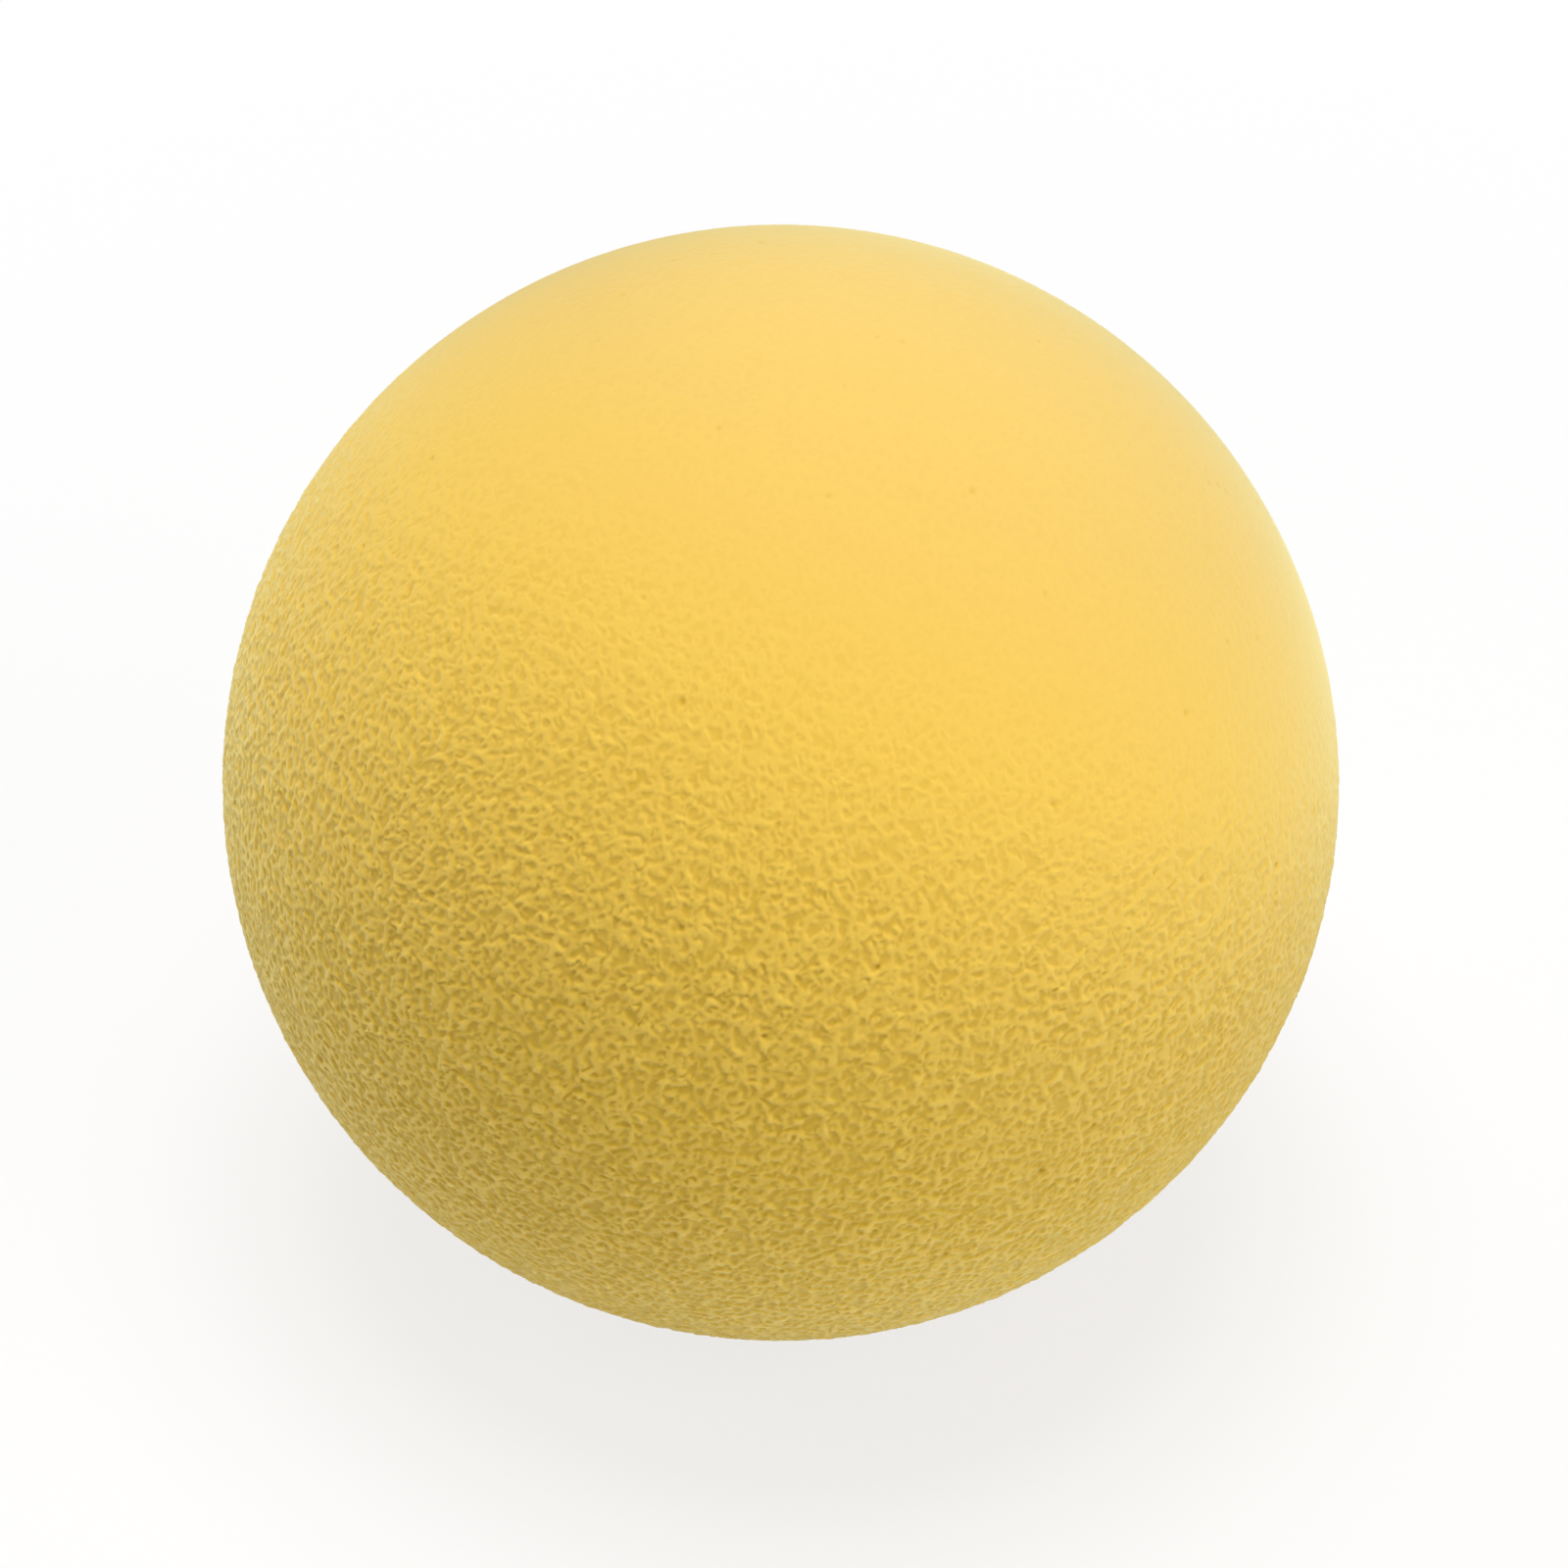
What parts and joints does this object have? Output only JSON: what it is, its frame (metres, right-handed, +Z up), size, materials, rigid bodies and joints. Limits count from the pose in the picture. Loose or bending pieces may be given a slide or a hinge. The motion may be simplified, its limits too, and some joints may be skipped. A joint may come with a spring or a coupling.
{
  "type": "foam pickleball",
  "caption": "Solid round ball of soft open-cell foam with a cut, matte, finely pitted yellow surface, for quiet paddle play.",
  "frame": {"origin": "centre of the ball", "axes": "+Z up, away from the surface the ball lies on; X and Y are free, because the ball is round"},
  "size_m": [0.074, 0.074, 0.074],
  "materials": {
    "foam": "matte"
  },
  "bodies": {
    "root": {"foam_ball": "foam"}
  },
  "joints": []
}
